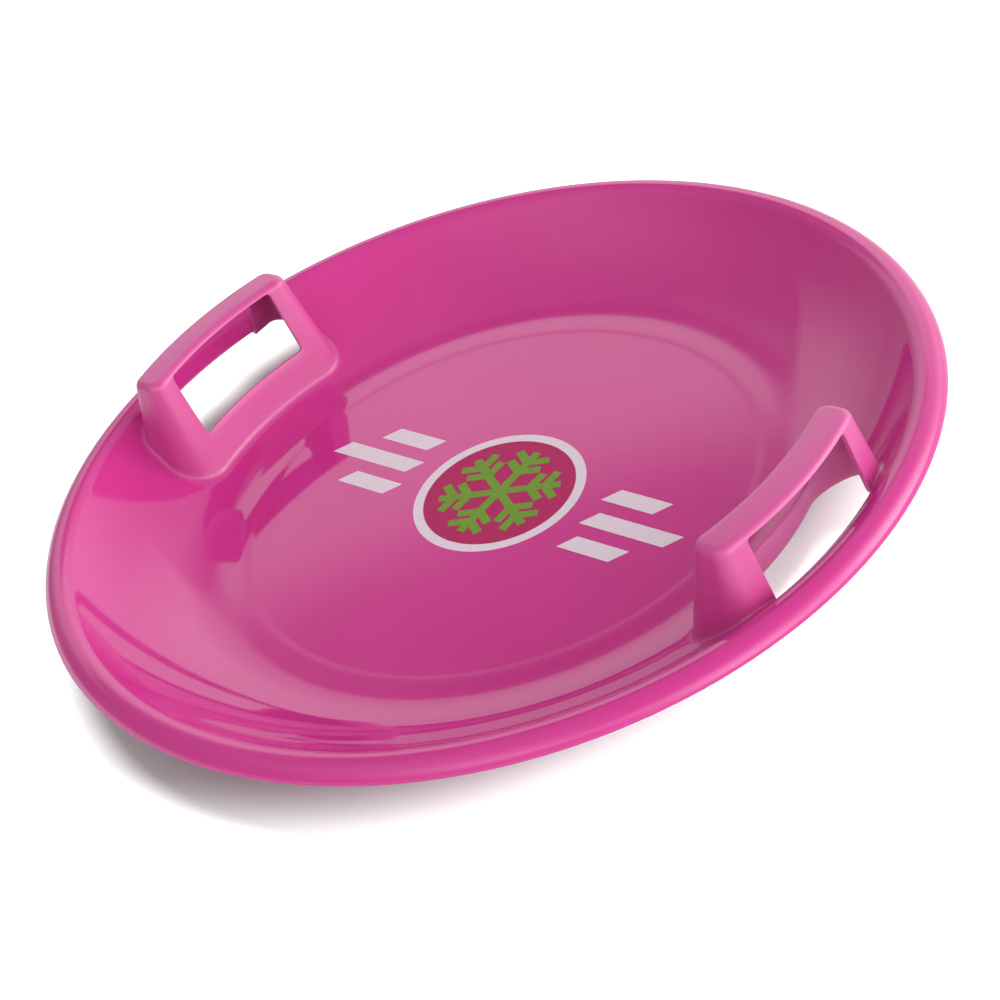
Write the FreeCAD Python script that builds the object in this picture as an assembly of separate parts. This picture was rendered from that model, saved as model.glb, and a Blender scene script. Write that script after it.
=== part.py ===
import FreeCAD, Part
import math
import os

# Round saucer sled, moulded in one thickness of plastic, with two hollow grab handles.
# Millimetres. The origin is the centre of the flat underside, +Z is up,
# +X points to the right handle and +Y to the top of the printed badge.

# Dish and rim
sled_diameter = 600.0
wall = 3.0             # thickness of the moulding everywhere
flare_width = 110.0    # from the edge of the flat floor out to the lip
bend_slope = 22.0      # degrees, where the tight bend out of the floor passes into the wide one
flare_slope = 46.0     # degrees, where the wide bend passes into the crest
crest_height = 50.5    # from the underside to the top of the rim
crest_radius = 12.7    # outside rounding over the top of the rim
lip_turn = 80.0        # degrees, from the top of the rim round to the lip's edge

# Handles, placed from the rim, their long faces curved about the middle of the sled
grip_setback = 51.4    # from the lip's outside to the middle of the grip
grip_rise = 33.9       # from the top of the rim to the top of the grip
grip_width = 23.5      # across the top, before its edges are rounded
grip_length = 138.0    # along the top, before its edges are rounded
inner_draft = 15.0     # degrees, lean of the face towards the rider
outer_draft = 13.0     # degrees, lean of the face towards the rim
end_draft = 9.2        # degrees, lean of the two ends
corner_radius = 9.0    # upright corners at the top, widening with the draft
crown_radius = 6.0     # edges round the top of the grip

# Hand openings, placed from the top of the grip
window_length = 100.6
window_corner = 2.5
head_drop = 3.7
sill_drop = 50.9

# Printed badge and stripes on the floor
ink_thickness = 0.1
badge_diameter = 118.0
badge_border = 7.0
flake_span = 84.0
flake_bar = 6.0
barb_length = 15.0
barb_place_shares = (0.5, 0.74)    # along an arm, from the middle of the flake
barb_angle = 60.0                  # degrees, between a barb and its arm
stripe_gap = 14.0                  # from the badge to the longest stripe
stripe_margin = 42.0               # from the longest stripe to the edge of the flat floor
stripe_width = 13.0
stripe_pitch = 24.0
stripe_slant = 30.0                # degrees, lean of a stripe's ends
stripe_length_shares = (0.62, 1.0, 0.62)

arms = 6
overrun = 20.0         # how far every cutting tool runs past what it cuts

sled_radius = sled_diameter / 2
floor_radius = sled_radius - flare_width
grip_top = crest_height + grip_rise
grip_reach = sled_radius - grip_setback


def point(radius, height):
    return FreeCAD.Vector(radius, 0, height)


def on_arc(centre, radius, degrees):
    # A point on a circle in the section plane, turned from straight down towards the rim.
    turn = math.radians(degrees)
    return centre + point(radius * math.sin(turn), -radius * math.cos(turn))


def arc(centre, radius, start, end):
    middle = (start + end) / 2
    ends = [on_arc(centre, radius, angle) for angle in (start, middle, end)]
    return Part.Arc(*ends).toShape()


def line(start, end):
    return Part.LineSegment(start, end).toShape()


def revolve(edges):
    face = Part.Face(Part.Wire(Part.__sortEdges__(edges)))
    return face.revolve(FreeCAD.Vector(0, 0, 0), FreeCAD.Vector(0, 0, 1), 360)


# The section: the flat floor, a tight bend, a wide bend and the crest, all tangent, and the lip.
flare_end = 180 + flare_slope
lip_end = 180 - lip_turn
lip_radius = wall / 2
lip_overhang = (crest_radius - lip_radius) * math.sin(math.radians(lip_turn))
crest_centre = point(sled_radius - lip_radius - lip_overhang, crest_height - crest_radius)
lip_centre = on_arc(crest_centre, crest_radius - lip_radius, lip_end)
flare_top = on_arc(crest_centre, crest_radius, flare_end)


def bend_radii():
    # Radii of the two bends that together lead from the edge of the floor to the crest.
    bend = math.radians(bend_slope)
    flare = math.radians(flare_slope)
    across = flare_top.x - floor_radius
    rise = flare_top.z - wall
    tight_across = math.sin(bend)
    tight_rise = 1 - math.cos(bend)
    wide_across = math.sin(flare) - math.sin(bend)
    wide_rise = math.cos(bend) - math.cos(flare)
    scale = tight_across * wide_rise - wide_across * tight_rise
    tight = (across * wide_rise - wide_across * rise) / scale
    wide = (tight_across * rise - across * tight_rise) / scale
    return tight, wide


tight_radius, wide_radius = bend_radii()
tight_centre = point(floor_radius, wall + tight_radius)
wide_centre = on_arc(tight_centre, tight_radius - wide_radius, bend_slope)


def flare_edges(depth):
    # The two bends of the flared wall, at one depth below the top surface.
    tight = arc(tight_centre, tight_radius + depth, 0, bend_slope)
    wide = arc(wide_centre, wide_radius + depth, bend_slope, flare_slope)
    return [tight, wide]


def crest_edge(depth):
    return arc(crest_centre, crest_radius - depth, flare_end, lip_end)


def make_floor():
    return Part.makeCylinder(floor_radius, wall)


def make_flare():
    foot = line(point(floor_radius, 0), point(floor_radius, wall))
    head = line(flare_top, on_arc(crest_centre, crest_radius - wall, flare_end))
    return revolve([foot, head] + flare_edges(0) + flare_edges(wall))


def make_rim():
    head = line(flare_top, on_arc(crest_centre, crest_radius - wall, flare_end))
    lip = arc(lip_centre, lip_radius, lip_end, lip_end - 180)
    return revolve([head, crest_edge(0), lip, crest_edge(wall)])


def make_dish_mass():
    # Everything between the ground and the dish's top surface, for trimming the handles.
    outside = on_arc(crest_centre, crest_radius, lip_end)
    centre = line(point(0, 0), point(0, wall))
    floor = line(point(0, wall), point(floor_radius, wall))
    side = line(outside, point(outside.x, 0))
    ground = line(point(outside.x, 0), point(0, 0))
    return revolve([centre, floor, crest_edge(0), side, ground] + flare_edges(0))


def curved_outline(inner, outer, half_length, radius, height):
    # One level section of a handle: two arcs about the middle of the sled, two straight ends
    # and four round corners.
    def through(start, middle, end):
        ends = [FreeCAD.Vector(spot.x, spot.y, height) for spot in (start, middle, end)]
        return Part.Arc(*ends).toShape()

    def corner(reach, touch, side):
        across = half_length - radius
        centre = FreeCAD.Vector(math.sqrt(reach * reach - across * across), side * across, 0)
        on_face = centre * (touch / reach)
        on_end = centre + FreeCAD.Vector(0, side * radius, 0)
        halfway = (on_face + on_end) * 0.5 - centre
        return on_face, centre + halfway.normalize() * radius, on_end

    inner_low, inner_high = [corner(inner + radius, inner, side) for side in (-1, 1)]
    outer_low, outer_high = [corner(outer - radius, outer, side) for side in (-1, 1)]
    lift = FreeCAD.Vector(0, 0, height)
    return Part.Wire([
        through(*inner_low),
        line(inner_low[2] + lift, outer_low[2] + lift),
        through(*outer_low[::-1]),
        through(outer_low[0], FreeCAD.Vector(outer, 0, 0), outer_high[0]),
        through(*outer_high),
        line(outer_high[2] + lift, inner_high[2] + lift),
        through(*inner_high[::-1]),
        through(inner_high[0], FreeCAD.Vector(inner, 0, 0), inner_low[0]),
    ])


def drafted_block(depth):
    # The handle's tapered block on the +X side, at one depth below its outer skin.
    def from_top(size, degrees, drop):
        draft = math.radians(degrees)
        return size + drop * math.tan(draft) - depth / math.cos(draft)

    def outline(height):
        drop = grip_top - height
        inner = grip_reach - from_top(grip_width / 2, inner_draft, drop)
        outer = grip_reach + from_top(grip_width / 2, outer_draft, drop)
        half_length = from_top(grip_length / 2, end_draft, drop)
        radius = from_top(corner_radius, end_draft, drop)
        return curved_outline(inner, outer, half_length, radius, height)

    top = grip_top - depth
    block = Part.makeLoft([outline(0), outline(top)], True, True)
    crown = [edge for edge in block.Edges if edge.BoundBox.ZMin > top / 2]
    return block.makeFillet(crown_radius - depth, crown)


def window(inner, outer, sill, head):
    box = Part.makeBox(outer - inner, window_length, head - sill,
                       FreeCAD.Vector(inner, -window_length / 2, sill))
    along = [edge for edge in box.Edges if edge.BoundBox.XLength > (outer - inner) / 2]
    return box.makeFillet(window_corner, along)


def make_inner_window():
    return window(floor_radius - overrun, grip_reach, grip_top - sill_drop, grip_top - head_drop)


def make_outer_window():
    return window(grip_reach, sled_radius + overrun, -overrun, grip_top - head_drop)


def make_handle(dish_mass):
    skin = drafted_block(0).cut(drafted_block(wall))
    return skin.cut(make_inner_window()).cut(make_outer_window()).cut(dish_mass)


def make_handle_hole():
    # The dish is open under a handle, out to where the outer window comes down to it.
    return drafted_block(wall).fuse(drafted_block(0).common(make_outer_window()))


def turned(shape):
    # The opposite handle is the same shape turned half round.
    copy = shape.copy()
    copy.rotate(FreeCAD.Vector(0, 0, 0), FreeCAD.Vector(0, 0, 1), 180)
    return copy


def ink(face, layer):
    raised = face.copy()
    raised.translate(FreeCAD.Vector(0, 0, wall + layer * ink_thickness))
    return raised.extrude(FreeCAD.Vector(0, 0, ink_thickness))


def disc(radius):
    return Part.Face(Part.Wire(Part.makeCircle(radius)))


def polygon(points):
    return Part.Face(Part.makePolygon(points + points[:1]))


def bar(start, degrees, length):
    # A straight bar of the flake in the floor's plane, centred on its line.
    along = FreeCAD.Vector(math.cos(math.radians(degrees)), math.sin(math.radians(degrees)), 0)
    across = FreeCAD.Vector(-along.y, along.x, 0) * (flake_bar / 2)
    end = start + along * length
    return polygon([start - across, end - across, end + across, start + across])


def make_flake_face():
    centre = FreeCAD.Vector(0, 0, 0)
    arm_length = flake_span / 2
    bars = []
    for arm in range(arms):
        degrees = 90 + 360 * arm / arms
        bars.append(bar(centre, degrees, arm_length))
        along = FreeCAD.Vector(math.cos(math.radians(degrees)), math.sin(math.radians(degrees)), 0)
        for share in barb_place_shares:
            for side in (-1, 1):
                bars.append(bar(along * (arm_length * share), degrees + side * barb_angle, barb_length))
    return bars[0].multiFuse(bars[1:]).removeSplitter()


def make_stripe_faces(side):
    # Slanted stripes beside the badge, the middle one longest.
    faces = []
    full_length = floor_radius - stripe_margin - badge_diameter / 2 - stripe_gap
    lean = math.tan(math.radians(stripe_slant)) * stripe_width
    start = badge_diameter / 2 + stripe_gap
    for row, share in enumerate(stripe_length_shares):
        middle = (row - (len(stripe_length_shares) - 1) / 2) * stripe_pitch
        low = middle - stripe_width / 2
        high = middle + stripe_width / 2
        end = start + (full_length - lean) * share
        corners = [(start, low), (end, low), (end + lean, high), (start + lean, high)]
        faces.append(polygon([FreeCAD.Vector(side * x, side * y, 0) for x, y in corners]))
    return faces


def make_white_print():
    stripes = [face for side in (-1, 1) for face in make_stripe_faces(side)]
    return Part.makeCompound([ink(face, 0) for face in [disc(badge_diameter / 2)] + stripes])


def make_magenta_print():
    return ink(disc(badge_diameter / 2 - badge_border), 1)


def make_green_print():
    return Part.makeCompound([ink(face, 2) for face in make_flake_face().Faces])


def main():
    dish_mass = make_dish_mass()
    hole = make_handle_hole()
    handle = make_handle(dish_mass)
    nodes = {
        "floor_pan": make_floor(),
        "flared_wall": make_flare().cut(hole).cut(turned(hole)),
        "rolled_rim": make_rim(),
        "right_handle": handle,
        "left_handle": turned(handle),
        "white_print": make_white_print(),
        "magenta_print": make_magenta_print(),
        "green_print": make_green_print(),
    }
    os.makedirs("parts", exist_ok=True)
    for name, shape in nodes.items():
        shape.exportStep("parts/" + name + ".step")
        print(name, "valid", shape.isValid(), "solids", len(shape.Solids), "volume", round(shape.Volume))


main()
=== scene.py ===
import math

import bmesh
import bpy
from mathutils import Matrix, Vector


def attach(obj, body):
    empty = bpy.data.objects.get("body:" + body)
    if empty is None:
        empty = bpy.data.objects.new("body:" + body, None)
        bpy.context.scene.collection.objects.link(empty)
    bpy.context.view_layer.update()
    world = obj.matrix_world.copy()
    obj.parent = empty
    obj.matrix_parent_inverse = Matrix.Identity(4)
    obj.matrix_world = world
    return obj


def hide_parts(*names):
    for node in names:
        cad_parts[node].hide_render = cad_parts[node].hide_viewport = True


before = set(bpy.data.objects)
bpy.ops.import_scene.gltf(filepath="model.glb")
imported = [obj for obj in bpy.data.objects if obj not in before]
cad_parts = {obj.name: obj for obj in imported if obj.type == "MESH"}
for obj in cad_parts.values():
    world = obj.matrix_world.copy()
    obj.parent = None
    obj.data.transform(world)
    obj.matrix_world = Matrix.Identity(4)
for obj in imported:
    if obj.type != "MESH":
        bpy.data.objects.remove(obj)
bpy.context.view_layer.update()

# Sizes of the moulding in metres, the same as those of the solids
mm = 0.001
sled_radius = 300.0 * mm
wall = 3.0 * mm
floor_radius = 190.0 * mm
bend_slope = math.radians(22.0)
flare_slope = math.radians(46.0)
crest_height = 50.5 * mm
crest_radius = 12.7 * mm
lip_turn = math.radians(80.0)

grip_reach = 248.6 * mm
grip_rise = 33.9 * mm
grip_top = crest_height + grip_rise
grip_width = 23.5 * mm
grip_length = 138.0 * mm
inner_draft = math.radians(15.0)
outer_draft = math.radians(13.0)
end_draft = math.radians(9.2)
corner_radius = 9.0 * mm
crown_radius = 6.0 * mm

window_half_length = 50.3 * mm
window_corner = 2.5 * mm
head_drop = 3.7 * mm
sill_drop = 50.9 * mm
window_head = grip_top - head_drop
window_sill = grip_top - sill_drop

# Fillets too small for the solids
foot_fillet = 4.0 * mm
foot_fade = 13.0 * mm
edge_fillet = 0.6 * mm
lip_fillet = 1.35 * mm
sharp_angle = math.radians(55.0)

# A faint ridge round the floor, far lower than the wall is thick
ridge_inner = 170.0 * mm
ridge_crest = 178.0 * mm
ridge_rise = 0.16 * mm

# How finely the moulding is divided
patch_half_angle = math.radians(22.5)
patch_inner = 205.0 * mm
patch_outer = 276.0 * mm
half_corner = 6
end_parts = 10
gap_columns = 88
ring_count = 5
fillet_parts = 5
crown_parts = 8
crest_parts = 30
last_crest_turn = math.radians(9.0)
floor_shares = (0.04, 0.12, 0.22, 0.34, 0.46, 0.58, 0.7, 0.82)
ridge_parts = 16
foot_shares = (0.25, 0.5, 0.75)
below_sill_shares = (0.25, 0.5, 0.75)
jamb_shares = (0.14, 0.28, 0.42, 0.56, 0.7, 0.84, 1.0)
side_places = [y * mm for y in (0.0, 7.0, 14.0, 21.0, 28.0, 35.0, 41.0, 45.0)]
beside_window = 3.2 * mm
foot_halvings = 40
lip_segments = 4
edge_segments = 3
round_profile = 0.5
touch = 0.01 * mm


# Section of the dish: the flat floor, a tight bend, a wide bend and the crest, all tangent
lip_radius = wall / 2
lip_reach = (crest_radius - lip_radius) * math.sin(lip_turn)
crest_middle = Vector((sled_radius - lip_radius - lip_reach, crest_height - crest_radius))
flare_top = crest_middle + Vector((-math.sin(flare_slope), math.cos(flare_slope))) * crest_radius


def bend_radii():
    """The radii of the tight and the wide bend that lead from the floor's edge to the crest."""
    across = flare_top.x - floor_radius
    rise = flare_top.y - wall
    tight_across, tight_rise = math.sin(bend_slope), 1 - math.cos(bend_slope)
    wide_across = math.sin(flare_slope) - math.sin(bend_slope)
    wide_rise = math.cos(bend_slope) - math.cos(flare_slope)
    scale = tight_across * wide_rise - wide_across * tight_rise
    tight = (across * wide_rise - wide_across * rise) / scale
    wide = (tight_across * rise - across * tight_rise) / scale
    return tight, wide


tight_bend, wide_bend = bend_radii()
tight_middle = Vector((floor_radius, wall + tight_bend))
wide_middle = flare_top + Vector((-math.sin(flare_slope), math.cos(flare_slope))) * wide_bend
tight_end = floor_radius + tight_bend * math.sin(bend_slope)


def ridge_height(radius):
    """The ridge climbs to its crest and falls back to the floor's edge, smoothly at each end."""
    if radius <= ridge_crest:
        share = max(0.0, radius - ridge_inner) / (ridge_crest - ridge_inner)
    else:
        share = (floor_radius - radius) / (floor_radius - ridge_crest)
    return ridge_rise * share ** 2 * (3 - 2 * share)


def dish_height(radius):
    """The height of the dish's upper surface at a distance from its middle."""
    if radius <= floor_radius:
        return wall + ridge_height(radius)
    middle, bend = (tight_middle, tight_bend) if radius <= tight_end else (wide_middle, wide_bend)
    return middle.y - math.sqrt(bend ** 2 - (radius - middle.x) ** 2)


def dish_rows():
    """The section from the floor's middle up to the crest, and the handles' first and last row."""
    floor = [(share * floor_radius, wall) for share in floor_shares]
    for part in range(ridge_parts + 1):
        radius = ridge_inner + (floor_radius - ridge_inner) * part / ridge_parts
        floor.append((radius, dish_height(radius)))
    for share in foot_shares:
        radius = floor_radius + (patch_inner - floor_radius) * share
        floor.append((radius, dish_height(radius)))
    parts = 2 * half_corner + end_parts
    radii = [patch_inner + (patch_outer - patch_inner) * part / parts for part in range(parts + 1)]
    flare = [(radius, dish_height(radius)) for radius in radii]
    return floor + flare + [tuple(flare_top)], len(floor), len(floor) + parts


# One handle, as stations round its outline and levels up its sides
class Station:
    """A place on a handle's outline: on a long face, round a corner or along an end."""

    def __init__(self, part, face=None, side=0, place=0.0):
        self.part = part
        self.face = face
        self.side = side
        self.place = place
        self.in_window = part == "face" and abs(place) <= window_half_length + touch

    def draft(self):
        long_draft = {"inner": inner_draft, "outer": outer_draft, None: end_draft}[self.face]
        if self.part == "corner":
            return long_draft + (end_draft - long_draft) * self.place
        return long_draft

    def spot(self, height, inset=0.0, across=None):
        """The place at one height, set in from the drafted side, or elsewhere along a face."""
        drop = grip_top - height
        inner = grip_reach - grip_width / 2 - drop * math.tan(inner_draft) + inset
        outer = grip_reach + grip_width / 2 + drop * math.tan(outer_draft) - inset
        half_length = grip_length / 2 + drop * math.tan(end_draft) - inset
        radius = corner_radius + drop * math.tan(end_draft) - inset
        middle = half_length - radius
        if self.part == "face":
            reach = inner if self.face == "inner" else outer
            y = self.place if across is None else across
            return Vector((math.sqrt(reach ** 2 - y ** 2), y))
        inner_middle = Vector((math.sqrt((inner + radius) ** 2 - middle ** 2), self.side * middle))
        outer_middle = Vector((math.sqrt((outer - radius) ** 2 - middle ** 2), self.side * middle))
        if self.part == "end":
            along = inner_middle.lerp(outer_middle, self.place)
            return along + Vector((0.0, self.side * radius))
        centre = inner_middle if self.face == "inner" else outer_middle
        start = math.atan2(centre.y, centre.x) + (math.pi if self.face == "inner" else 0.0)
        end = self.side * math.pi / 2
        turn = (end - start + math.pi) % (2 * math.pi) - math.pi
        angle = start + turn * self.place
        return centre + Vector((math.cos(angle), math.sin(angle))) * radius

    def skin(self, height, across=None):
        """The place on the handle's skin at one height, with the crown rounded over."""
        draft = self.draft()
        rise = height - (grip_top - crown_radius)
        inset = 0.0
        if rise > crown_radius * math.sin(draft):
            over = math.asin(min(1.0, rise / crown_radius))
            inset = crown_radius / math.cos(draft) - crown_radius * math.cos(over)
            inset -= rise * math.tan(draft)
        flat = self.spot(height, inset, across)
        return Vector((flat.x, flat.y, height))

    def fillet(self):
        """How large the fillet at the handle's foot is here; it fades out at the outer window."""
        if self.part == "face" and self.face == "outer":
            past = max(0.0, abs(self.place) - window_half_length) / foot_fade
            return edge_fillet + (foot_fillet - edge_fillet) * min(1.0, past)
        return foot_fillet

    def foot_height(self):
        """Where the drafted side meets the dish, found by halving."""
        low, high = 0.0, crest_height
        for _ in range(foot_halvings):
            middle = (low + high) / 2
            if dish_height(self.spot(middle).length) > middle:
                low = middle
            else:
                high = middle
        return (low + high) / 2


def handle_stations():
    """The stations round a handle: the inner face, one end, the outer face and the other end."""
    near = [window_half_length - window_corner * share for share in (1.0, 0.5, 0.0)]
    half = side_places + near + [window_half_length + beside_window]
    places = [-y for y in reversed(half[1:])] + half

    def corner(face, side, shares):
        return [Station("corner", face, side, share) for share in shares]

    parts = 2 * half_corner
    rising = [part / parts for part in range(parts)]
    falling = [1.0 - share for share in rising]
    ends = [part / end_parts for part in range(end_parts + 1)]
    stations = [Station("face", "inner", 0, y) for y in places]
    stations += corner("inner", 1, rising)
    stations += [Station("end", None, 1, share) for share in ends]
    stations += corner("outer", 1, falling[1:] + [0.0])
    stations += [Station("face", "outer", 0, -y) for y in places]
    stations += corner("outer", -1, rising)
    stations += [Station("end", None, -1, 1.0 - share) for share in ends]
    stations += corner("inner", -1, falling[1:] + [0.0])
    return stations


def rounded_in(distance):
    """How far a window's edge comes in at a distance from its sharp corner."""
    if distance >= window_corner:
        return 0.0
    if distance <= 0.0:
        return window_corner * (1 - math.sqrt(0.5))
    return window_corner - math.sqrt(window_corner ** 2 - (window_corner - distance) ** 2)


def window_edge(station, height, sill):
    """Rounds the corners of a window: moves its edge points in along the face and in height."""
    across = station.place
    beside = window_half_length - abs(across)
    below = window_head - height
    above = height - sill if sill is not None else window_corner
    on_jamb = abs(beside) < touch
    if on_jamb and min(below, above) > -touch:
        across -= math.copysign(rounded_in(min(below, above)), across)
    if abs(below) < touch and beside > -touch:
        height -= rounded_in(beside)
    if sill is not None and abs(above) < touch and beside > -touch:
        height += rounded_in(beside)
    return across, height


def handle_levels(stations):
    """The loops of points from the dish up to the grip's top, and those that edge the windows."""
    feet = [station.foot_height() for station in stations]
    loops = []
    outset = []
    for station, foot in zip(stations, feet):
        flat = station.spot(foot, -station.fillet())
        outset.append(Vector((flat.x, flat.y, dish_height(flat.length))))
    corners = []
    risen = []
    for station, foot in zip(stations, feet):
        flat = station.spot(foot)
        corners.append(Vector((flat.x, flat.y, foot)))
        risen.append(station.skin(foot + station.fillet()))
    loops.append(outset)
    for part in range(1, fillet_parts):
        share = part / fillet_parts
        loops.append([a * (1 - share) ** 2 + b * (2 * share * (1 - share)) + c * share ** 2
                      for a, b, c in zip(outset, corners, risen)])
    loops.append(risen)
    low = feet[0] + foot_fillet
    high = window_head - window_corner

    def straight(inner_height):
        """A level that the inner face has at one height; the other sides share the climb evenly."""
        share = (inner_height - low) / (high - low)
        loop = []
        for station, foot in zip(stations, feet):
            start = foot + station.fillet()
            height = start + (high - start) * share
            across = None
            if station.part == "face" and station.face == "inner":
                across, height = window_edge(station, height, window_sill)
            loop.append(station.skin(height, across))
        loops.append(loop)

    for share in below_sill_shares:
        straight(low + (window_sill - low) * share)
    sill_level = len(loops)
    for rise in (0.0, window_corner / 2, window_corner):
        straight(window_sill + rise)
    jamb_start = window_sill + window_corner
    for share in jamb_shares:
        straight(jamb_start + (high - jamb_start) * share)
    for drop in (window_corner / 2, 0.0):
        loop = []
        for station in stations:
            height = window_head - drop
            across = None
            if station.part == "face":
                across, height = window_edge(station, height, None)
            loop.append(station.skin(height, across))
        loops.append(loop)
    head_level = len(loops) - 1
    first = math.asin((window_head - grip_top + crown_radius) / crown_radius)
    for part in range(1, crown_parts + 1):
        over = first + (math.pi / 2 - first) * part / crown_parts
        height = grip_top - crown_radius + crown_radius * math.sin(over)
        loops.append([station.skin(height) for station in stations])
    return loops, sill_level, head_level


def shell_surface():
    """The top surface of the dish and the handles, up to the crest, as one sheet of quads."""
    rows, patch_start, patch_end = dish_rows()
    stations = handle_stations()
    face_count = sum(1 for station in stations if station.part == "face") // 2
    levels, sill_level, head_level = handle_levels(stations)

    along = [station.place / grip_reach for station in stations[:face_count]]
    tangent = (grip_length / 2 - corner_radius) / grip_reach
    widening = patch_half_angle - tangent
    past = [tangent + widening * part / half_corner for part in range(half_corner + 1)]
    turns = [-turn for turn in reversed(past)] + along + past
    gap = math.pi - 2 * patch_half_angle
    columns = []
    for start in (0.0, math.pi):
        columns += [start + turn for turn in turns]
        columns += [start + patch_half_angle + gap * part / gap_columns
                    for part in range(1, gap_columns)]
    sector_size = len(turns)
    second = sector_size + gap_columns - 1

    bm = bmesh.new()
    grip = bm.verts.layers.float.new("grip")
    grid = {}

    def sector_place(column):
        """How many columns this one lies past the start of its handle's sector."""
        return column if column < second else column - second

    def in_patch(row, column):
        inside_row = patch_start < row < patch_end
        return inside_row and 0 < sector_place(column) < sector_size - 1

    for row, (radius, height) in enumerate(rows):
        for column, turn in enumerate(columns):
            if not in_patch(row, column):
                spot = (radius * math.cos(turn), radius * math.sin(turn), height)
                grid[row, column] = bm.verts.new(spot)
    middle = bm.verts.new((0.0, 0.0, wall))
    count = len(columns)
    for column in range(count):
        bm.faces.new((middle, grid[0, column], grid[0, (column + 1) % count]))
    for row in range(len(rows) - 1):
        for column in range(count):
            following = (column + 1) % count
            if patch_start <= row < patch_end and sector_place(column) < sector_size - 1:
                continue
            bm.faces.new((grid[row, column], grid[row + 1, column],
                          grid[row + 1, following], grid[row, following]))

    def boundary(start):
        """The dish's points round one handle, in the order of the stations."""
        first, last = start, start + sector_size - 1
        inner = [grid[patch_start, column] for column in range(first, last + 1)]
        high = [grid[row, last] for row in range(patch_start + 1, patch_end)]
        outer = [grid[patch_end, column] for column in range(last, first - 1, -1)]
        low = [grid[row, first] for row in range(patch_end - 1, patch_start, -1)]
        loop = inner + high + outer + low
        shift = loop.index(grid[patch_start, first + half_corner + 1])
        return loop[shift:] + loop[:shift]

    for start, sign in ((0, 1.0), (second, -1.0)):
        edge = boundary(start)
        total = len(stations)
        assert len(edge) == total, (len(edge), total)
        loops = [edge]
        flat_edge = [Vector((vert.co.x, vert.co.y)) * sign for vert in edge]
        for ring in range(1, ring_count):
            share = ring / ring_count
            loop = []
            for outside, inside in zip(flat_edge, levels[0]):
                flat = outside.lerp(Vector((inside.x, inside.y)), share)
                loop.append(bm.verts.new((sign * flat.x, sign * flat.y, dish_height(flat.length))))
            loops.append(loop)
        for number, level in enumerate(levels):
            loop = [bm.verts.new((sign * spot.x, sign * spot.y, spot.z)) for spot in level]
            for vert in loop:
                vert[grip] = min(1.0, number / fillet_parts)
            loops.append(loop)
        for level in range(len(loops) - 1):
            for number in range(total):
                following = (number + 1) % total
                pair = (stations[number], stations[following])
                if all(station.in_window for station in pair):
                    lowest = ring_count + (sill_level if pair[0].face == "inner" else 0)
                    if lowest <= level < ring_count + head_level:
                        continue
                bm.faces.new((loops[level][number], loops[level + 1][number],
                              loops[level + 1][following], loops[level][following]))
        bm.faces.new(loops[-1])
    loose = [vert for vert in bm.verts if not vert.link_faces]
    bmesh.ops.delete(bm, geom=loose, context="VERTS")
    bmesh.ops.recalc_face_normals(bm, faces=bm.faces)
    middle_face = middle.link_faces[0]
    middle_face.normal_update()
    if middle_face.normal.z < 0:
        bmesh.ops.reverse_faces(bm, faces=bm.faces)
    return bm


# Nodes
class Value:
    """A socket in a tree of nodes. Arithmetic on it adds Math nodes."""

    def __init__(self, tree, socket=None):
        self.tree = tree
        self.socket = socket

    def add(self, kind, inputs=None, output=0, **settings):
        """Adds a node of any kind: its settings first, then the values or links of its sockets."""
        node = self.tree.nodes.new(kind)
        for name, setting in settings.items():
            setattr(node, name, setting)
        for name, value in (inputs or {}).items():
            socket = node.inputs[name]
            if isinstance(value, Value):
                self.tree.links.new(value.socket, socket)
            else:
                socket.default_value = value
        return Value(self.tree, node.outputs[output] if node.outputs else None)

    def other(self, name):
        """Another output of the same node."""
        return Value(self.tree, self.socket.node.outputs[name])

    def maths(self, operation, *values):
        return self.add("ShaderNodeMath", dict(enumerate(values)), operation=operation)

    def __add__(self, other):
        return self.maths("ADD", self, other)

    def __radd__(self, other):
        return self.maths("ADD", other, self)

    def __sub__(self, other):
        return self.maths("SUBTRACT", self, other)

    def __rsub__(self, other):
        return self.maths("SUBTRACT", other, self)

    def __mul__(self, other):
        return self.maths("MULTIPLY", self, other)

    def __rmul__(self, other):
        return self.maths("MULTIPLY", other, self)

    def blend(self, low, high):
        """Mixes two colours by this value."""
        return self.add("ShaderNodeMix", {0: self, 6: low, 7: high}, output=2, data_type="RGBA")

    def between(self, low, high):
        """This value's climb from low to high as 0 to 1."""
        return self.add("ShaderNodeMapRange", {"Value": self, "From Min": low, "From Max": high})


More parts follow.
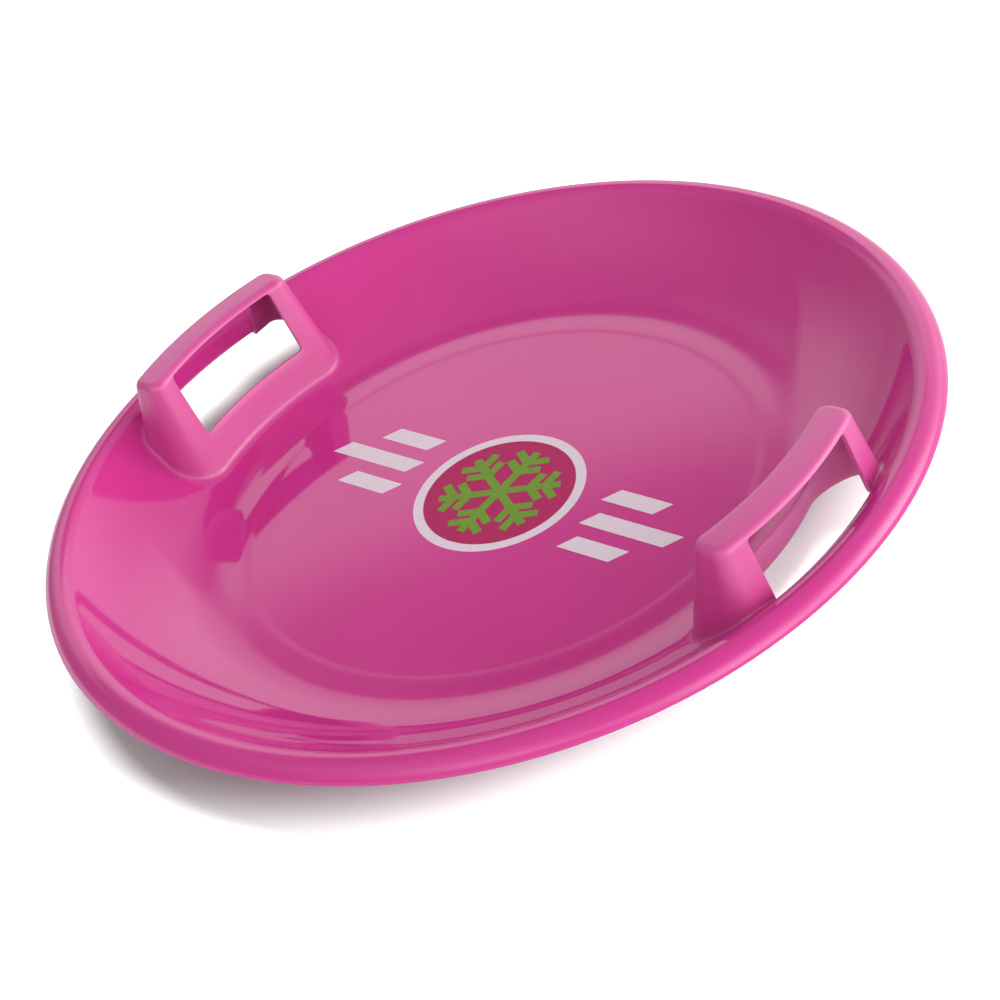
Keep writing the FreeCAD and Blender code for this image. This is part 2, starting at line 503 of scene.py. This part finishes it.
# The rim, the thickness and the roundings
def rolled_rim(shell, material):
    """Rolls the dish's outer edge over the crest in even turns, and once more to the lip."""
    sizes = {
        "Edge Beyond": (patch_outer + flare_top.x) / 2,
        "Middle Radius": crest_middle.x,
        "Middle Height": crest_middle.y,
        "Crest Radius": crest_radius,
        "First Turn": -flare_slope,
        "Last Turn": lip_turn - last_crest_turn,
        "Lip Turn": lip_turn,
    }
    tree = bpy.data.node_groups.new("rolled_rim", "GeometryNodeTree")

    def new_socket(name, kind, in_out="INPUT"):
        return tree.interface.new_socket(name, in_out=in_out, socket_type=kind)

    new_socket("Geometry", "NodeSocketGeometry")
    sockets = {name: new_socket(name, "NodeSocketFloat") for name in sizes}
    new_socket("Geometry", "NodeSocketGeometry", "OUTPUT")
    start = Value(tree)
    given = start.add("NodeGroupInput")
    size = {name: given.other(name) for name in sizes}

    place = start.add("GeometryNodeInputPosition")
    flat = start.add("ShaderNodeVectorMath", {0: place, 1: (1.0, 1.0, 0.0)}, operation="MULTIPLY")
    outward = start.add("ShaderNodeVectorMath", {0: flat}, operation="NORMALIZE")
    reach = start.add("ShaderNodeVectorMath", {0: flat}, "Value", operation="LENGTH")
    faces = start.add("GeometryNodeInputMeshEdgeNeighbors")
    is_open = start.maths("LESS_THAN", faces, 2.0)
    is_outer = start.maths("GREATER_THAN", reach, size["Edge Beyond"])

    def roll(mesh, edge, turn):
        """Draws the edge out to one turn round the crest, and gives the mesh and its new edge."""
        drawn = start.add("GeometryNodeExtrudeMesh", {
            "Mesh": mesh, "Selection": edge, "Offset Scale": 0.0}, mode="EDGES")
        away = size["Middle Radius"] + start.maths("SINE", turn) * size["Crest Radius"]
        height = size["Middle Height"] + start.maths("COSINE", turn) * size["Crest Radius"]
        level = start.add("ShaderNodeVectorMath", {0: outward, "Scale": away}, operation="SCALE")
        lifted = start.add("ShaderNodeCombineXYZ", {"Z": height})
        spot = start.add("ShaderNodeVectorMath", {0: level, 1: lifted}, operation="ADD")
        top = drawn.other("Top")
        moved = start.add("GeometryNodeSetPosition", {
            "Geometry": drawn, "Selection": top, "Position": spot})
        return moved, top

    zone_in = start.add("GeometryNodeRepeatInput").socket.node
    zone_out = start.add("GeometryNodeRepeatOutput").socket.node
    zone_in.pair_with_output(zone_out)
    zone_out.repeat_items.new("BOOLEAN", "Edge")
    zone_out.repeat_items.new("FLOAT", "Turn")
    zone_in.inputs["Iterations"].default_value = crest_parts

    def feed(zone, **values):
        for name, value in values.items():
            tree.links.new(value.socket, zone.inputs[name])

    def taken(zone, name):
        return Value(tree, zone.outputs[name])

    feed(zone_in, Geometry=given, Edge=is_open * is_outer, Turn=size["First Turn"])
    step = (size["Last Turn"] - size["First Turn"]) * (1.0 / crest_parts)
    turn = taken(zone_in, "Turn") + step
    mesh, edge = roll(taken(zone_in, "Geometry"), taken(zone_in, "Edge"), turn)
    feed(zone_out, Geometry=mesh, Edge=edge, Turn=turn)
    mesh, _ = roll(taken(zone_out, "Geometry"), taken(zone_out, "Edge"), size["Lip Turn"])
    mesh = start.add("GeometryNodeRealizeInstances", {"Geometry": mesh})
    mesh = start.add("GeometryNodeSetMaterial", {"Geometry": mesh, "Material": material})
    start.add("NodeGroupOutput", {"Geometry": mesh})

    modifier = shell.modifiers.new("rolled_rim", "NODES")
    modifier.node_group = tree
    for name, value in sizes.items():
        modifier[sockets[name].identifier] = value


def plain_mesh(obj):
    """Makes an object's modifiers into its mesh."""
    evaluated = obj.evaluated_get(bpy.context.evaluated_depsgraph_get())
    mesh = bpy.data.meshes.new_from_object(evaluated)
    old = obj.data
    obj.modifiers.clear()
    obj.data = mesh
    bpy.data.meshes.remove(old)


def round_edges(bm, edges, size, segments):
    bmesh.ops.bevel(bm, geom=edges, offset=size, segments=segments, profile=round_profile,
                    affect="EDGES", clamp_overlap=True)


def make_shell(material):
    """The whole moulding: the sheet, its rolled rim, its thickness and its rounded edges."""
    bm = shell_surface()
    mesh = bpy.data.meshes.new("moulded_shell")
    bm.to_mesh(mesh)
    bm.free()
    shell = bpy.data.objects.new("moulded_shell", mesh)
    bpy.context.collection.objects.link(shell)
    rolled_rim(shell, material)
    thick = shell.modifiers.new("thickness", "SOLIDIFY")
    thick.thickness = wall
    thick.offset = -1.0
    thick.use_even_offset = True
    thick.use_quality_normals = True
    plain_mesh(shell)

    bm = bmesh.new()
    bm.from_mesh(shell.data)
    sharp = [edge for edge in bm.edges
             if len(edge.link_faces) == 2 and edge.calc_face_angle() > sharp_angle]
    lip_start = sled_radius - 2 * wall
    lip = [edge for edge in sharp if edge.verts[0].co.xy.length > lip_start]
    windows = [edge for edge in sharp if edge.verts[0].co.xy.length <= lip_start]
    round_edges(bm, lip, lip_fillet, lip_segments)
    windows = [edge for edge in windows if edge.is_valid]
    round_edges(bm, windows, edge_fillet, edge_segments)
    for face in bm.faces:
        face.smooth = True
    bm.to_mesh(shell.data)
    bm.free()
    return shell


# Materials
def colour(red, green, blue):
    return (red, green, blue, 1.0)


def grey(level):
    return colour(level, level, level)


# The two tones between which each finish wanders. The satin tones on the handles are paler than the
# gloss ones: painted sheen, standing in for the whitish haze that the satin reflects.
gloss_pinks = (colour(0.505, 0.026, 0.208), colour(0.535, 0.032, 0.228))
satin_pinks_with_painted_sheen = (colour(0.500, 0.040, 0.222), colour(0.530, 0.048, 0.242))
print_inks = {
    "white": (colour(0.64, 0.52, 0.59), colour(0.68, 0.56, 0.63)),
    "magenta": (colour(0.36, 0.004, 0.085), colour(0.39, 0.006, 0.095)),
    "green": (colour(0.12, 0.24, 0.012), colour(0.14, 0.27, 0.018)),
}

plastic_ior = 1.5
gloss_roughness = 0.045
gloss_haze = 0.02
satin_roughness = 0.32
satin_coat = 0.65
satin_coat_roughness = 0.42
peel_strength = 0.02
peel_depth = 0.5 * mm
ink_roughness = 0.42
ink_haze = 0.1
ink_specular = 0.2

# Scale, detail and roughness of each noise, and the part of its range that is used
flow_noise = (7.0, 3.0, 0.5)
haze_noise = (38.0, 5.0, 0.6)
peel_noise = (90.0, 2.0, 0.5)
screen_noise = (220.0, 4.0, 0.6)
tone_range = (0.3, 0.7)
haze_range = (0.35, 0.75)


def new_material(name):
    material = bpy.data.materials.new(name)
    material.use_nodes = True
    tree = material.node_tree
    tree.nodes.clear()
    return material, Value(tree)


def finish_material(start, shader):
    start.add("ShaderNodeOutputMaterial", {"Surface": shader})


def noise(place, scale, detail, roughness):
    return place.add("ShaderNodeTexNoise", {
        "Vector": place, "Scale": scale, "Detail": detail, "Roughness": roughness})


def pink_plastic():
    """Glossy dish, with a satin finish where the handles' grip attribute rises to 1; there the base
    colour is paler, a painted sheen.
    """
    material, start = new_material("pink_plastic")
    place = start.add("ShaderNodeTexCoord", output="Object")
    grip = start.add("ShaderNodeAttribute", output="Fac", attribute_name="grip")
    flow = noise(place, *flow_noise).between(*tone_range)
    haze = noise(place, *haze_noise).between(*haze_range)
    peel = noise(place, *peel_noise)
    # Where grip rises, the paler satin tones paint the satin's whitish sheen into the base colour
    base = grip.blend(flow.blend(*gloss_pinks), flow.blend(*satin_pinks_with_painted_sheen))
    rough = gloss_roughness + haze * gloss_haze + grip * satin_roughness
    bump = start.add("ShaderNodeBump", {
        "Strength": peel_strength, "Distance": peel_depth, "Height": peel})
    shader = start.add("ShaderNodeBsdfPrincipled", {
        "Base Color": base, "Roughness": rough, "IOR": plastic_ior, "Normal": bump,
        "Coat Weight": grip * satin_coat, "Coat Roughness": satin_coat_roughness})
    finish_material(start, shader)
    return material


def ink(name, low, high):
    """Printed ink, duller than the plastic, with a fine unevenness from the print screen."""
    material, start = new_material(name)
    place = start.add("ShaderNodeTexCoord", output="Object")
    screen = noise(place, *screen_noise).between(*tone_range)
    haze = noise(place, *haze_noise).between(*haze_range)
    shader = start.add("ShaderNodeBsdfPrincipled", {
        "Base Color": screen.blend(low, high), "Roughness": ink_roughness + haze * ink_haze,
        "IOR": plastic_ior, "Specular IOR Level": ink_specular})
    finish_material(start, shader)
    return material


def dress(piece, material):
    piece.data.materials.clear()
    piece.data.materials.append(material)


# The moulding and its print
pink = pink_plastic()
shell = make_shell(pink)
dress(shell, pink)
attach(shell, "root")
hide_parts("floor_pan", "flared_wall", "rolled_rim", "right_handle", "left_handle")

for name, tones in print_inks.items():
    dress(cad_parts[name + "_print"], ink(name + "_ink", *tones))


# The stage: a pale floor, soft light and the camera
floor_half_size = 6.0
floor_drop = 0.2 * mm
paper_seen = 0.54
paper_unseen = 0.28
room_light = 0.42

# Each glow: azimuth and elevation in degrees, strength (below 0 takes light away) and sharpness
glows = {
    "key": (45.0, 10.0, 5.9, 14.0),
    "side": (0.0, 10.0, 4.1, 14.0),
    "rear": (90.0, 10.0, 1.2, 14.0),
    "back low": (135.0, 10.0, 0.55, 14.0),
    "back": (112.0, 35.0, 0.6, 14.0),
    "front": (292.0, 35.0, 1.65, 14.0),
    "left": (240.0, 62.0, 0.6, 14.0),
    "beside the gap": (157.0, 41.0, 0.2, 100.0),
    "dark gap": (138.0, 44.0, -0.5, 70.0),
}

# The soft panel, with its place and edges in degrees
panel_light = 0.9
panel_turn = 146.0
panel_half_width = 26.0
panel_low = 18.0
panel_high = 36.2
panel_top_edge = 0.9
panel_soft_edge = 9.0

# Each floor lamp: azimuth and elevation in degrees, and strength
floor_lamp_spread = math.radians(30.0)
floor_lamps = {
    "floor_lamp_back": (148.0, 68.0, 5.4),
    "floor_lamp_side": (15.0, 25.0, 10.4),
}

# The camera, with its lens and sensor in millimetres
camera_turn = math.radians(51.234)
camera_lift = math.radians(36.074)
camera_roll = math.radians(-19.901)
camera_target = Vector((43.67 * mm, -36.86 * mm, crest_height - 12.3 * mm))
camera_distance = 1.57189
camera_lens = 90.186
camera_sensor = 36.0


def make_floor():
    mesh = bpy.data.meshes.new("studio_floor")
    corners = [(x * floor_half_size, y * floor_half_size, -floor_drop)
               for x, y in ((-1, -1), (1, -1), (1, 1), (-1, 1))]
    mesh.from_pydata(corners, [], [(0, 1, 2, 3)])
    floor = bpy.data.objects.new("studio_floor", mesh)
    bpy.context.collection.objects.link(floor)
    material, start = new_material("pale_floor")
    seen = start.add("ShaderNodeLightPath", output="Is Camera Ray")
    paper = seen.blend(grey(paper_unseen), grey(paper_seen))
    finish_material(start, start.add("ShaderNodeBsdfDiffuse", {"Color": paper}))
    dress(floor, material)
    return floor


def axis_towards(azimuth, elevation):
    turn, lift = math.radians(azimuth), math.radians(elevation)
    level = math.cos(lift)
    return Vector((math.cos(turn) * level, math.sin(turn) * level, math.sin(lift)))


def light_floor(floor):
    """Lamps that light the floor alone: the ground turns white and keeps the sled's shadow."""
    floor_only = bpy.data.collections.new("floor_only")
    floor_only.objects.link(floor)
    for name, (azimuth, elevation, strength) in floor_lamps.items():
        data = bpy.data.lights.new(name, "SUN")
        data.angle = floor_lamp_spread
        data.energy = strength
        lamp = bpy.data.objects.new(name, data)
        lamp.rotation_euler = axis_towards(azimuth, elevation).to_track_quat("Z", "Y").to_euler()
        lamp.light_linking.receiver_collection = floor_only
        bpy.context.collection.objects.link(lamp)


def make_world():
    """White to the camera; to all else a dim room with soft glows and one soft panel."""
    world = bpy.data.worlds.new("studio")
    world.use_nodes = True
    tree = world.node_tree
    tree.nodes.clear()
    start = Value(tree)
    direction = start.add("ShaderNodeTexCoord", output="Generated")

    def along(axis):
        return start.add("ShaderNodeVectorMath", {0: direction, 1: axis}, "Value",
                         operation="DOT_PRODUCT")

    def glow(azimuth, elevation, strength, sharpness):
        """Light that is brightest in one direction and fades evenly away from it."""
        towards = along(axis_towards(azimuth, elevation))
        return start.maths("EXPONENT", (towards - 1.0) * sharpness) * strength

    def edge(angle, outside, inside):
        return angle.between(math.radians(outside), math.radians(inside))

    light = room_light
    for place in glows.values():
        light = light + glow(*place)
    lift = start.maths("ARCSINE", along(axis_towards(0.0, 90.0)))
    sideways = along(axis_towards(panel_turn + 90.0, 0.0))
    aside = start.maths("ABSOLUTE", start.maths("ARCSINE", sideways))
    outside, inside = panel_half_width + panel_soft_edge, panel_half_width - panel_soft_edge
    panel = edge(lift, panel_high + panel_top_edge, panel_high - panel_top_edge)
    panel = panel * edge(lift, panel_low - panel_soft_edge, panel_low + panel_soft_edge)
    panel = panel * edge(aside, outside, inside)
    light = light + panel * panel_light
    seen = start.add("ShaderNodeLightPath", output="Is Camera Ray")
    strength = start.maths("MAXIMUM", seen, light * (1.0 - seen))
    back = start.add("ShaderNodeBackground", {"Color": grey(1.0), "Strength": strength})
    start.add("ShaderNodeOutputWorld", {"Surface": back})
    bpy.context.scene.world = world


def make_camera():
    level = Vector((math.cos(camera_turn), math.sin(camera_turn), 0.0))
    reach = math.cos(camera_lift)
    back = Vector((math.sin(camera_turn) * reach, -math.cos(camera_turn) * reach,
                   math.sin(camera_lift)))
    rise = back.cross(level)
    right = level * math.cos(camera_roll) + rise * math.sin(camera_roll)
    up = rise * math.cos(camera_roll) - level * math.sin(camera_roll)
    data = bpy.data.cameras.new("camera")
    data.sensor_fit = "HORIZONTAL"
    data.sensor_width = camera_sensor
    data.lens = camera_lens
    camera = bpy.data.objects.new("camera", data)
    matrix = Matrix((right, up, back)).transposed().to_4x4()
    matrix.translation = camera_target + back * camera_distance
    camera.matrix_world = matrix
    bpy.context.collection.objects.link(camera)
    bpy.context.scene.camera = camera


light_floor(make_floor())
make_world()
make_camera()
bpy.context.scene.view_settings.view_transform = "Standard"
